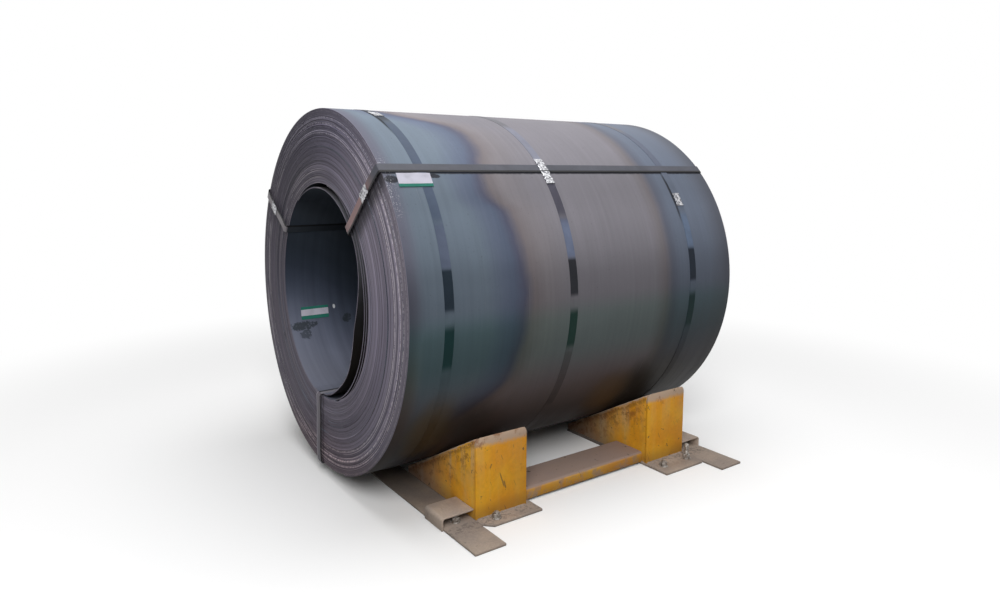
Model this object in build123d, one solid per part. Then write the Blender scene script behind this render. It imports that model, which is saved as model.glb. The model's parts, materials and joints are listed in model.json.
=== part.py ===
import math
import os

from build123d import *

# A coil of hot rolled strip on its side, strapped, lying on a steel saddle.
# Millimetres. +Z is up, the coil's axis runs along X, and the floor is Z = 0.
# "front" is the -X end, "near" is the -Y side. Angles round the coil start at the near side and go up.

# Coil
coil_bore_r = 381.0         # a 30 inch mandrel
strip_t = 4.0
turns = 63
coil_width = 1416.0
coil_clear = 40.0           # between the coil and the floor
lap_groups = 8              # runs of turns that stand in or out on the ends
lap_shift = 3.0             # how far a run wanders along the axis
lap_phase = 2.4             # radians from one run to the next

# Loose laps that hang off the eye's wall on the near side, measured to their inner faces
lap_clear = 0.3             # between a lap's ends and the wall
lap_inset = 2.0             # behind the coil's ends
inner_lap_top = 124.0       # angles of its two ends
inner_lap_low = -104.0
inner_lap_hang = {
    110: 9.0, 90: 19.0, 70: 31.0, 50: 41.0, 34: 46.0, 18: 64.0, 0: 92.0,
    -18: 106.0, -34: 90.0, -50: 64.0, -68: 44.0, -84: 21.0,
}
first_lap_hang = 40.0       # where each of the others hangs most
second_lap_hang = 26.0
third_lap_hang = 13.0
lap_step = 4.0              # degrees between the points of a lap's curve
inner_lap_parts = 4         # plates that the innermost lap's bend is made of

# Steel straps and their crimped seals
strap_w = 32.0
strap_t = 0.9
strap_clear = 0.1
bore_clear = 0.6            # between the bore and what lies on its wall
front_ring_in = 133.0       # from the coil's front end
middle_ring_x = -98.0       # from the coil's middle
rear_ring_in = 218.0        # from the coil's rear end
upper_eye_angle = 42.6
back_eye_angle = 148.0
lower_eye_angle = -94.0
eye_gap = 9.0               # from the proudest turn to an eye strap's end run
seal_w = 36.0
seal_t = 1.2
seal_length = 52.0
front_seal_angle = 73.5
middle_seal_angle = 44.1
seal_pair_gap = 3.0         # the middle ring is sealed twice
rear_seal_angle = 30.0
eye_seal_in = 110.0         # from the coil's outside

# Paper labels
label_w = 114.0
label_h = 50.0
label_t = 0.4
outer_label_in = 100.0      # from the coil's front end
outer_label_angle = 38.5
bore_label_in = 109.0
bore_label_angle = -158.2

# Saddle: wedges on base plates, joined by channels, on flat cross bars
saddle_x = 32.0             # middle of the saddle, from the coil's middle
wedge_slope = 29.0          # degrees
wedge_face_y = 587.0
wedge_spacing = 570.0       # between the wedges of one side
wedge_w = 200.0
wedge_toe_h = 30.0
face_t = 10.0
face_corner_r = 18.0
side_t = 10.0
top_t = 8.0
base_t = 8.0
front_overhang = 24.0       # base plate past the wedge, under the channel's end
rear_overhang = 4.0
front_tab_reach = 55.0      # base plate outside the wedge's face
rear_tab_reach = 102.0
front_tab_clip = 34.0
rear_tab_clip = 8.0
channel_w = 140.0
channel_h = 40.0
channel_t = 6.0
channel_bend_r = 5.0        # inside the bend
channel_inset = 22.0        # behind the wedge's face
bar_w = 110.0
bar_t = 8.0
bar_clear = 0.5
front_bar_reach = 748.0
rear_bar_reach = 772.0
guide_h = 42.0
guide_t = 6.0
guide_bend_r = 6.0
guide_length = 105.0
guide_inset = 12.0          # behind the wedge's face

# Anchor holes in the base plates
anchor_hole_r = 9.0
front_anchor_x = 420.0      # from the saddle's middle
front_anchor_out = 20.0     # from the wedge's face
rear_anchor_out = 48.0
rear_inner_anchor_x = 324.0
rear_outer_anchor_x = 452.0

# Values that follow
coil_outer_r = coil_bore_r + turns * strip_t
axis_z = coil_outer_r + coil_clear
front_end_x = -coil_width / 2
rear_end_x = coil_width / 2
ring_x = {
    "front": front_end_x + front_ring_in,
    "middle": middle_ring_x,
    "rear": rear_end_x - rear_ring_in,
}
ring_inner_r = coil_outer_r + strap_clear
eye_outer_r = ring_inner_r + strap_t + strap_clear
lap_end_hang = strip_t + lap_clear
loose_laps = {              # most hang, its angle, and the angles of the two ends
    "first": (first_lap_hang, 4.0, 80.0, -94.0),
    "second": (second_lap_hang, 2.0, 60.0, -70.0),
    "third": (third_lap_hang, 0.0, 40.0, -45.0),
}
strap_half_angle = math.degrees(math.asin(strap_w / 2 / (coil_bore_r - max(inner_lap_hang.values()))))
eye_end_x = rear_end_x + lap_shift + eye_gap
eye_seal_r = coil_outer_r - eye_seal_in
second_seal_angle = middle_seal_angle - math.degrees((seal_length + seal_pair_gap) / coil_outer_r)
bearing_r = eye_outer_r
slope_tan = math.tan(math.radians(wedge_slope))
slope_cos = math.cos(math.radians(wedge_slope))
wedge_in_x = wedge_spacing / 2
wedge_out_x = wedge_in_x + wedge_w
bar_in_x = wedge_out_x + bar_clear
guide_in_x = bar_in_x + bar_w + bar_clear

ends = {"front": -1, "rear": 1}
sides = {"near": -1, "far": 1}
anchor_holes = {
    "front": [(front_anchor_x, front_anchor_out)],
    "rear": [(rear_inner_anchor_x, rear_anchor_out), (rear_outer_anchor_x, rear_anchor_out)],
}
overhang = {"front": front_overhang, "rear": rear_overhang}
tab_reach = {"front": front_tab_reach, "rear": rear_tab_reach}
tab_clip = {"front": front_tab_clip, "rear": rear_tab_clip}
bar_reach = {"front": front_bar_reach, "rear": rear_bar_reach}


def bearing_z(y):
    """Height of the wedges' bearing plane at a distance y from the coil's middle plane."""
    return axis_z - bearing_r / slope_cos + y * slope_tan


toe_y = (wedge_toe_h - bearing_z(0)) / slope_tan


def on_axis(shape):
    return Pos(0, 0, axis_z) * shape


def turned(angle, shape):
    """Turns a flat shape, drawn along +X, to an angle round the coil."""
    return Rot(0, 0, 180 - angle) * shape


def along_x(outline, x_from, x_to):
    return extrude(Plane.YZ.offset(min(x_from, x_to)) * outline, abs(x_to - x_from), dir=(1, 0, 0))


def along_y(outline, y_from, y_to):
    return extrude(Plane.XZ.offset(-min(y_from, y_to)) * outline, abs(y_to - y_from), dir=(0, 1, 0))


def rounded(outline, corners):
    """Fillets the outline's corner nearest each given point."""
    for point, radius in corners:
        outline = fillet(outline.vertices().sort_by_distance((*point, 0))[0], radius)
    return outline


# The coil: one turned solid whose runs of turns are shifted along the axis
def steel_coil():
    step = (coil_outer_r - coil_bore_r) / lap_groups
    end = []
    for i in range(lap_groups):
        shift = lap_shift * math.sin(lap_phase * i)
        end.append((shift, coil_bore_r + step * i))
        end.append((shift, coil_bore_r + step * (i + 1)))
    left = [(front_end_x + shift, r) for shift, r in end]
    right = [(rear_end_x + shift, r) for shift, r in reversed(end)]
    section = make_face(Polyline(*left, *right, close=True))
    return on_axis(revolve(section, Axis.X))


# Loose laps: plates bent along a run of arcs
def inner_hang(angle):
    """How far the innermost lap's inner face is off the wall, by cubic steps through the table."""
    table = [(inner_lap_low, lap_end_hang), *sorted(inner_lap_hang.items()), (inner_lap_top, lap_end_hang)]
    slopes = [0, *[(b[1] - a[1]) / (b[0] - a[0]) for a, b in zip(table, table[2:])], 0]
    for i in range(len(table) - 1):
        (start, low), (end, high) = table[i], table[i + 1]
        if start <= angle <= end:
            run = end - start
            t = (angle - start) / run
            from_low = (1 + 2 * t) * (1 - t) ** 2 * low + t * (1 - t) ** 2 * run * slopes[i]
            return from_low + t * t * (3 - 2 * t) * high + t * t * (t - 1) * run * slopes[i + 1]
    return 0.0


def held_hang(angle):
    return inner_hang(min(max(angle, inner_lap_low), inner_lap_top))


def loose_hang(name, angle):
    most, middle, top, low = loose_laps[name]
    end = top if angle > middle else low
    share = math.cos(math.pi / 2 * (angle - middle) / (end - middle)) ** 2
    return lap_end_hang + (most - lap_end_hang) * share


def arcs_through(points):
    return [ThreePointArc(*points[i:i + 3]) for i in range(0, len(points) - 2, 2)]


def lap_plate(hang, top, low):
    count = 2 * round((top - low) / lap_step / 2)
    step = (top - low) / count

    def inner(angle):
        r = coil_bore_r - hang(angle)
        a = math.radians(angle)
        return Vector(-r * math.cos(a), r * math.sin(a))

    inside, outside = [], []
    for i in range(count + 1):
        angle = low + step * i
        along = (inner(angle + step / 4) - inner(angle - step / 4)).normalized()
        inside.append(inner(angle))
        outside.append(inner(angle) + Vector(-along.Y, along.X) * strip_t)
    tips = [Line(inside[0], outside[0]), Line(inside[-1], outside[-1])]
    outline = make_face(arcs_through(inside) + arcs_through(outside) + tips)
    return on_axis(along_x(outline, front_end_x + lap_inset, rear_end_x - lap_inset))


def eye_inner_r(angle):
    """Radius of an eye strap's run through the eye, on the wall or on the innermost lap."""
    shares = [angle + strap_half_angle * i / 8 for i in range(-8, 9)]
    room = min((coil_bore_r - inner_hang(a)) * math.cos(math.radians(a - angle)) for a in shares)
    return room - bore_clear


# Ring straps, drawn taut: the middle one passes over the upper eye strap
def ring_inside(name):
    disk = Circle(ring_inner_r)
    if name != "middle":
        return disk
    middle_r = eye_outer_r + strap_t / 2
    crossed = Rectangle(strap_t + 2 * strap_clear, strap_w + 2 * strap_clear)
    crossed = turned(upper_eye_angle, Pos(middle_r, 0) * crossed)
    return make_hull(disk.edges() + crossed.edges())


def ring_strap(name):
    inside = ring_inside(name)
    band = offset(inside, strap_t) - inside
    return on_axis(along_x(band, ring_x[name] - strap_w / 2, ring_x[name] + strap_w / 2))


def ring_seal(name, angle):
    inside = ring_inside(name)
    x = ring_x[name]
    room = strap_t + strap_clear
    window = turned(angle, Pos(coil_outer_r, 0) * Rectangle(coil_bore_r, seal_length))
    cover = (offset(inside, room + seal_t) - inside) & window
    hollow = (offset(inside, room) - inside) & window
    clip = along_x(cover, x - seal_w / 2, x + seal_w / 2)
    gap = strap_w / 2 + strap_clear
    return on_axis(clip - along_x(hollow, x - gap, x + gap))


# Eye straps: flat loops through the bore, drawn upright and turned to their angle
def at_eye(angle, shape):
    return on_axis(Rot(90 - angle, 0, 0) * shape)


def eye_strap(angle):
    inner_r = eye_inner_r(angle)
    inside = RectangleRounded(2 * eye_end_x, eye_outer_r - inner_r, eye_gap)
    inside = Pos(0, (inner_r + eye_outer_r) / 2) * inside
    band = offset(inside, strap_t) - inside
    return at_eye(angle, along_y(band, -strap_w / 2, strap_w / 2))


def eye_seal(angle, end):
    depth = strap_t + 2 * strap_clear
    width = strap_w + 2 * strap_clear
    sleeve = Box(depth + 2 * seal_t, seal_w, seal_length) - Box(depth, width, seal_length)
    return at_eye(angle, Pos(end * (eye_end_x + strap_t / 2), 0, eye_seal_r) * sleeve)


def label(x, angle, inner_r):
    window = turned(angle, Pos(inner_r, 0) * Rectangle(inner_r, label_h))
    sheet = (Circle(inner_r + label_t) - Circle(inner_r)) & window
    return on_axis(along_x(sheet, x - label_w / 2, x + label_w / 2))


# Wedges: a face plate, a bearing plate and two side plates on a base plate
def wedge_span(end):
    return saddle_x + end * wedge_in_x, saddle_x + end * wedge_out_x


def wedge_face(end, side):
    inner_y = wedge_face_y - face_t
    outline = Polygon(
        (side * wedge_face_y, base_t),
        (side * wedge_face_y, bearing_z(wedge_face_y)),
        (side * inner_y, bearing_z(inner_y)),
        (side * inner_y, base_t),
        align=None,
    )
    plate = along_x(outline, *wedge_span(end))
    top = plate.faces().sort_by(Axis.Z)[-1]
    return fillet(top.edges().sort_by(SortBy.LENGTH)[:2], face_corner_r)


def wedge_top(end, side):
    inner_y = wedge_face_y - face_t
    drop = top_t / slope_cos
    outline = Polygon(
        (side * inner_y, bearing_z(inner_y)),
        (side * toe_y, bearing_z(toe_y)),
        (side * toe_y, bearing_z(toe_y) - drop),
        (side * inner_y, bearing_z(inner_y) - drop),
        align=None,
    )
    return along_x(outline, *wedge_span(end))


def wedge_side(end, side, x_from, x_to):
    inner_y = wedge_face_y - face_t
    drop = top_t / slope_cos
    outline = Polygon(
        (side * inner_y, base_t),
        (side * inner_y, bearing_z(inner_y) - drop),
        (side * toe_y, bearing_z(toe_y) - drop),
        (side * toe_y, base_t),
        align=None,
    )
    return along_x(outline, saddle_x + end * x_from, saddle_x + end * x_to)


def base_plate(end_name, side):
    end = ends[end_name]
    clip = tab_clip[end_name]
    inner_x = wedge_in_x - overhang[end_name]
    outer_y = wedge_face_y + tab_reach[end_name]
    points = [
        (inner_x, toe_y),
        (wedge_out_x, toe_y),
        (wedge_out_x, outer_y - clip),
        (wedge_out_x - clip, outer_y),
        (inner_x, outer_y),
    ]
    outline = Polygon(*[(saddle_x + end * x, side * y) for x, y in points], align=None)
    for x, out in anchor_holes[end_name]:
        outline -= Pos(saddle_x + end * x, side * (wedge_face_y + out)) * Circle(anchor_hole_r)
    return extrude(outline, base_t, dir=(0, 0, 1))


# Folded channel between the two wedges of one side, open underneath
def side_channel(side):
    outer_y = wedge_face_y - channel_inset
    inner_y = outer_y - channel_w
    low, high = base_t, base_t + channel_h
    roof = high - channel_t
    points = [
        (outer_y, low),
        (outer_y, high),
        (inner_y, high),
        (inner_y, low),
        (inner_y + channel_t, low),
        (inner_y + channel_t, roof),
        (outer_y - channel_t, roof),
        (outer_y - channel_t, low),
    ]
    outline = Polygon(*[(side * y, z) for y, z in points], align=None)
    bend = channel_bend_r + channel_t
    outline = rounded(outline, [
        ((side * outer_y, high), bend),
        ((side * inner_y, high), bend),
        ((side * (inner_y + channel_t), roof), channel_bend_r),
        ((side * (outer_y - channel_t), roof), channel_bend_r),
    ])
    return along_x(outline, saddle_x - wedge_in_x, saddle_x + wedge_in_x)


# Flat bar across the floor, and the folded guides that hold it against the wedges
def cross_bar(end_name):
    middle_x = saddle_x + ends[end_name] * (bar_in_x + bar_w / 2)
    return extrude(Pos(middle_x, 0) * Rectangle(bar_w, 2 * bar_reach[end_name]), bar_t)


def guide_bracket(end, side):
    outer_x = guide_in_x + guide_t
    roof = guide_h - guide_t
    points = [
        (outer_x, 0),
        (outer_x, guide_h),
        (wedge_out_x, guide_h),
        (wedge_out_x, roof),
        (guide_in_x, roof),
        (guide_in_x, 0),
    ]
    outline = Polygon(*[(saddle_x + end * x, z) for x, z in points], align=None)
    outline = rounded(outline, [
        ((saddle_x + end * outer_x, guide_h), guide_bend_r + guide_t),
        ((saddle_x + end * guide_in_x, roof), guide_bend_r),
    ])
    outer_y = wedge_face_y - guide_inset
    return along_y(outline, side * outer_y, side * (outer_y - guide_length))


nodes = {
    "steel_coil": steel_coil(),
    "ring_strap_front": ring_strap("front"),
    "ring_strap_middle": ring_strap("middle"),
    "ring_strap_rear": ring_strap("rear"),
    "ring_seal_front": ring_seal("front", front_seal_angle),
    "ring_seal_middle": ring_seal("middle", middle_seal_angle),
    "ring_seal_second": ring_seal("middle", second_seal_angle),
    "ring_seal_rear": ring_seal("rear", rear_seal_angle),
    "eye_strap_upper": eye_strap(upper_eye_angle),
    "eye_strap_back": eye_strap(back_eye_angle),
    "eye_strap_lower": eye_strap(lower_eye_angle),
    "eye_seal_upper": eye_seal(upper_eye_angle, ends["front"]),
    "eye_seal_back": eye_seal(back_eye_angle, ends["front"]),
    "eye_seal_lower": eye_seal(lower_eye_angle, ends["rear"]),
    "outer_label": label(front_end_x + outer_label_in, outer_label_angle, eye_outer_r),
    "bore_label": label(front_end_x + bore_label_in, bore_label_angle, coil_bore_r - bore_clear - label_t),
}

part_angle = (inner_lap_top - inner_lap_low) / inner_lap_parts
for i in range(inner_lap_parts):
    low = inner_lap_low + part_angle * i
    nodes[f"inner_lap_{i + 1}"] = lap_plate(held_hang, low + part_angle, low)

for name, (most, middle, top, low) in loose_laps.items():
    nodes[f"loose_lap_{name}"] = lap_plate(lambda angle, name=name: loose_hang(name, angle), top, low)

for end_name, end in ends.items():
    nodes[f"cross_bar_{end_name}"] = cross_bar(end_name)
    for side_name, side in sides.items():
        corner = f"{end_name}_{side_name}"
        nodes[f"wedge_face_{corner}"] = wedge_face(end, side)
        nodes[f"wedge_top_{corner}"] = wedge_top(end, side)
        nodes[f"wedge_side_inner_{corner}"] = wedge_side(end, side, wedge_in_x, wedge_in_x + side_t)
        nodes[f"wedge_side_outer_{corner}"] = wedge_side(end, side, wedge_out_x - side_t, wedge_out_x)
        nodes[f"base_plate_{corner}"] = base_plate(end_name, side)
        nodes[f"guide_bracket_{corner}"] = guide_bracket(end, side)

for side_name, side in sides.items():
    nodes[f"side_channel_{side_name}"] = side_channel(side)

os.makedirs("parts", exist_ok=True)
for name, shape in nodes.items():
    export_step(shape, f"parts/{name}.step")
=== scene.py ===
import json
import math
import random

import bmesh
import bpy
from mathutils import Matrix, Vector, noise


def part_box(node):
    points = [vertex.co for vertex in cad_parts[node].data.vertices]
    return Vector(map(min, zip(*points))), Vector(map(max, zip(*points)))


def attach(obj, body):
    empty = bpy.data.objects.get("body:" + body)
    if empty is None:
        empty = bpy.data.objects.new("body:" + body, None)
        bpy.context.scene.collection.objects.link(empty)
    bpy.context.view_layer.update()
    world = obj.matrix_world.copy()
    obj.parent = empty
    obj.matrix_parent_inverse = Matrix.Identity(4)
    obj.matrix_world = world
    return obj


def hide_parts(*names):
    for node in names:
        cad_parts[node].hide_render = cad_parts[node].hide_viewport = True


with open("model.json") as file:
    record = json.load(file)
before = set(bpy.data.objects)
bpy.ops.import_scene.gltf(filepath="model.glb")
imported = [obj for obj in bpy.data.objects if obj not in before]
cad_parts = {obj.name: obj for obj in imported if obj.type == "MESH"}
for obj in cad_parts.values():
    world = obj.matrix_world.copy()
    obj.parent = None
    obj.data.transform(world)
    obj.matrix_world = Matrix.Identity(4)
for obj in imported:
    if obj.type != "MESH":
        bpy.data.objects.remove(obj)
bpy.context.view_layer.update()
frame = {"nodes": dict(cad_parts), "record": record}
nodes = frame["nodes"]
mounts = {mount["name"]: mount for mount in frame["record"]["mounts"]}
print("frame loaded:", len(nodes), "nodes")

# sizes that everything else follows, in metres
coilLow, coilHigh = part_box("steel_coil")
axisZ = (coilLow.z + coilHigh.z) / 2
axisPoint = Vector((0, 0, axisZ))
outerR = (coilHigh.z - coilLow.z) / 2
boreR = mounts["coil_eye"]["dims"]["r_mm"] / 1000
coilWidth = mounts["coil_eye"]["dims"]["length_mm"] / 1000
frontX, rearX = -coilWidth / 2, coilWidth / 2
faceLow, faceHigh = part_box("wedge_face_front_near")
faceY, faceTop = abs(faceLow.y), faceHigh.z  # the wedges' outer faces
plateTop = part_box("base_plate_front_near")[1].z
ringLow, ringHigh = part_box("ring_strap_front")
strapT = (ringHigh.z - coilHigh.z) * 0.9  # the rest is the gap under the strap
strapW = ringHigh.x - ringLow.x


def polar(x, radius, angle):
    # a point round the coil: 0 degrees faces -Y, 90 is up
    turn = math.radians(angle)
    return Vector((x, -radius * math.cos(turn), axisZ + radius * math.sin(turn)))


def outwardAt(angle):
    return (polar(0, 1, angle) - axisPoint).normalized()


def middleOf(node):
    low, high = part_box(node)
    return (low + high) / 2


def nodeAngle(node):
    middle = middleOf(node)
    return math.degrees(math.atan2(middle.z - axisZ, -middle.y))


# Shader maths

class Wire:
    # one output socket of a node tree, with the arithmetic that the finishes need
    def __init__(self, tree, socket=None):
        self.tree = tree
        self.socket = socket

    def feed(self, target, value):
        if isinstance(value, Wire):
            self.tree.links.new(value.socket, target)
        else:
            target.default_value = value

    def node(self, kind, settings=None, sockets=None, out=0):
        made = self.tree.nodes.new("ShaderNode" + kind)
        for name, value in (settings or {}).items():
            setattr(made, name, value)
        for key, value in (sockets or {}).items():
            self.feed(made.inputs[key], value)
        return Wire(self.tree, made.outputs[out])

    def sibling(self, out):
        return Wire(self.tree, self.socket.node.outputs[out])

    def math(self, operation, other=0.0):
        return self.node("Math", {"operation": operation}, {0: self, 1: other})

    def __add__(self, other):
        return self.math("ADD", other)

    def __mul__(self, other):
        return self.math("MULTIPLY", other)

    def __sub__(self, other):
        return self.math("SUBTRACT", other)

    def __truediv__(self, other):
        return self.math("DIVIDE", other)

    def __rsub__(self, other):
        return self.node("Math", {"operation": "SUBTRACT"}, {0: other, 1: self})

    __radd__ = __add__
    __rmul__ = __mul__

    def most(self, other):
        return self.math("MAXIMUM", other)

    def rise(self, low, high):
        # a soft step from 0 at low to 1 at high, also when low is the larger one
        settings = {"interpolation_type": "SMOOTHSTEP"}
        return self.node("MapRange", settings, {0: self, 1: low, 2: high, 3: 0.0, 4: 1.0})

    def split(self):
        first = self.node("SeparateXYZ", sockets={0: self})
        return first, first.sibling(1), first.sibling(2)

    def join(self, x, y, z):
        return self.node("CombineXYZ", sockets={0: x, 1: y, 2: z})

    def stretch(self, *factors):
        # a place with each axis scaled
        return self.node("VectorMath", {"operation": "MULTIPLY"}, {0: self, 1: factors})

    def noise(self, scale, detail=2.0, rough=0.5):
        sockets = {"Vector": self, "Scale": scale, "Detail": detail, "Roughness": rough}
        return self.node("TexNoise", sockets=sockets)

    def lineNoise(self, scale, detail=2.0):
        settings = {"noise_dimensions": "1D"}
        return self.node("TexNoise", settings, {"W": self, "Scale": scale, "Detail": detail})

    def mix(self, first, second, mode="MIX"):
        # this wire is the factor between two colours
        first = (*first, 1) if isinstance(first, tuple) else first
        second = (*second, 1) if isinstance(second, tuple) else second
        settings = {"data_type": "RGBA", "blend_type": mode}
        return self.node("Mix", settings, {0: self, 6: first, 7: second}, out=2)

    def ramp(self, stops):
        made = self.node("ValToRGB", sockets={0: self})
        elements = made.socket.node.color_ramp.elements
        while len(elements) < len(stops):
            elements.new(1)
        for element, (place, colour) in zip(elements, stops):
            element.position = place
            element.color = (*colour, 1)
        return made

    def curve(self, points):
        made = self.node("FloatCurve", sockets={"Value": self})
        mapping = made.socket.node.mapping
        knots = mapping.curves[0].points
        while len(knots) < len(points):
            knots.new(1, 0)
        for knot, place in zip(knots, points):
            knot.location = place
        mapping.update()
        return made

    def scaled(self, amount):
        return self.node("VectorMath", {"operation": "SCALE"}, {0: self, "Scale": amount})

    def bump(self, strength, distance, onto=None):
        sockets = {"Height": self, "Strength": strength, "Distance": distance}
        if onto:
            sockets["Normal"] = onto
        return self.node("Bump", sockets=sockets)


def newFinish(name):
    # a material, and the place that its patterns start from
    material = bpy.data.materials.new(name)
    material.use_nodes = True
    return material, Wire(material.node_tree).node("TexCoord", out="Object")


def dress(material, colour, rough, specular=0.5, bump=None, metallic=0.0):
    looks = {"Base Color": colour, "Roughness": rough, "Metallic": metallic, "Specular IOR Level": specular}
    if bump:
        looks["Normal"] = bump
    shader = material.node_tree.nodes["Principled BSDF"]
    for name, value in looks.items():
        colour.feed(shader.inputs[name], value)
    return material


def coilPlace(place):
    # the place along the coil, the degrees round it, the radius and the height above its axis
    x, y, z = place.split()
    up = z - axisZ
    angle = up.math("ARCTAN2", 0 - y) * (180 / math.pi)
    radius = (y * y + up * up).math("SQRT")
    return x, angle, radius, up


def sideways(angle, radius, middle):
    # metres to the side of the line at one angle round the coil
    return radius * ((angle - middle) * (math.pi / 180)).math("SINE")


def patch(x, angle, middle, size, ragged, fade=(1.25, 0.75)):
    # an uneven oval stain at a place on the coil, 1 inside and 0 outside
    across = (x - middle[0]) / size[0]
    along = (angle - middle[1]) / size[1]
    return (across * across + along * along + ragged).rise(*fade)


def patches(x, angle, spots, ragged):
    # several stains together: place along the coil, angle, half sizes and strength of each
    joined = None
    for along, level, halfX, halfAngle, strength in spots:
        stain = patch(x, angle, (along, level), (halfX, halfAngle), ragged) * strength
        joined = joined.most(stain) if joined else stain
    return joined


# Finishes of the coil

steelLook = {
    "mauve": (0.176, 0.168, 0.188),
    "warm": (0.180, 0.166, 0.178),
    "fringe": (0.150, 0.132, 0.139),
    "violet": (0.076, 0.080, 0.118),
    "deep": (0.088, 0.108, 0.158),
    "teal": (0.102, 0.124, 0.174),
    "blue": (0.122, 0.152, 0.190),
    "rearFringe": (0.146, 0.133, 0.143),
    "rearEdge": (0.092, 0.100, 0.132),
    "rearBlue": (0.112, 0.132, 0.175),
    "rearEnd": (0.096, 0.103, 0.130),
    "speck": (0.05, 0.045, 0.045),
    "scratch": (0.30, 0.30, 0.32),
    # stain also colours the painted shadow under the upper strap
    "stain": (0.018, 0.019, 0.025),
    "fleck": (0.480, 0.480, 0.520),
    # casts that multiply the colour low on the sides and at the front rim
    "green": (0.78, 1.04, 0.90),
    "brown": (1.16, 0.88, 0.72),
    "rim": (0.92, 0.76, 0.80),
    "lowRim": (1.40, 1.06, 0.88),
    # heat colours across the edge of each blue end
    "front": [(0.0, "blue"), (0.30, "blue"), (0.39, "teal"), (0.445, "deep"), (0.495, "violet"),
              (0.550, "fringe"), (0.62, "warm"), (0.78, "mauve")],
    "rear": [(0.02, "rearEnd"), (0.17, "rearBlue"), (0.41, "rearBlue"), (0.47, "rearEdge"),
             (0.525, "rearFringe"), (0.60, "mauve")],
    "bandSpan": 0.7,  # metres that these colours take up
    # where the front blue ends, by angle from -180 to 180 as 0 to 1
    "frontBand": [(0.0, 0.45), (0.30, 0.30), (0.389, 0.225), (0.4167, 0.375), (0.4306, 0.5375),
                  (0.458, 0.6875), (0.50, 0.75), (0.5556, 0.73), (0.578, 0.6875), (0.60, 0.55),
                  (0.625, 0.58), (0.653, 0.65), (0.672, 0.60), (0.694, 0.36), (0.71, 0.20),
                  (0.75, 0.12), (0.85, 0.45), (1.0, 0.45)],
    "bandReach": (-0.60, 0.40),  # the curve's 0 and its span, along the coil
    "rearBand": 0.362,
    # painted light and shade by height, from the bottom up: dark low down, lighter on top, with a painted
    # shadow step under the upper strap
    "paintedLightCurve": [(0.0, 0.05), (0.08, 0.09), (0.165, 0.21), (0.206, 0.33), (0.25, 0.47), (0.297, 0.62),
             (0.345, 0.70), (0.396, 0.72), (0.448, 0.79), (0.50, 0.87), (0.552, 0.90), (0.604, 1.03),
             (0.655, 1.18), (0.703, 1.21), (0.75, 1.11), (0.794, 1.02), (0.830, 1.02), (0.850, 1.18),
             (0.91, 1.19), (0.953, 1.19), (1.0, 1.12)],
    # painted contact shadows above the wedges, painted reflections of the yellow saddle and painted shadow
    # lines beside lifted strap edges: place along the coil, angle, half sizes, colour and strength
    "paintedLightMarks": [
        (-0.570, -36, 0.075, 12, (0.080, 0.052, 0.020), 0.65),
        (-0.430, -36, 0.100, 9, (0.012, 0.011, 0.010), 0.70),
        (0.420, -40, 0.170, 14, (0.012, 0.009, 0.006), 0.85),
        (0.190, -38, 0.090, 9, (0.085, 0.052, 0.024), 0.55),
        (0.469, 32, 0.006, 8, (0.012, 0.012, 0.014), 0.9),
        (-0.592, 70, 0.006, 10, (0.012, 0.012, 0.014), 0.9),
    ],
    # stains beside the outer label, as patches takes them
    "stains": [(-0.684, 38.9, 0.022, 1.3, 1.0), (-0.535, 39.9, 0.022, 0.7, 1.0)],
}


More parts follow.
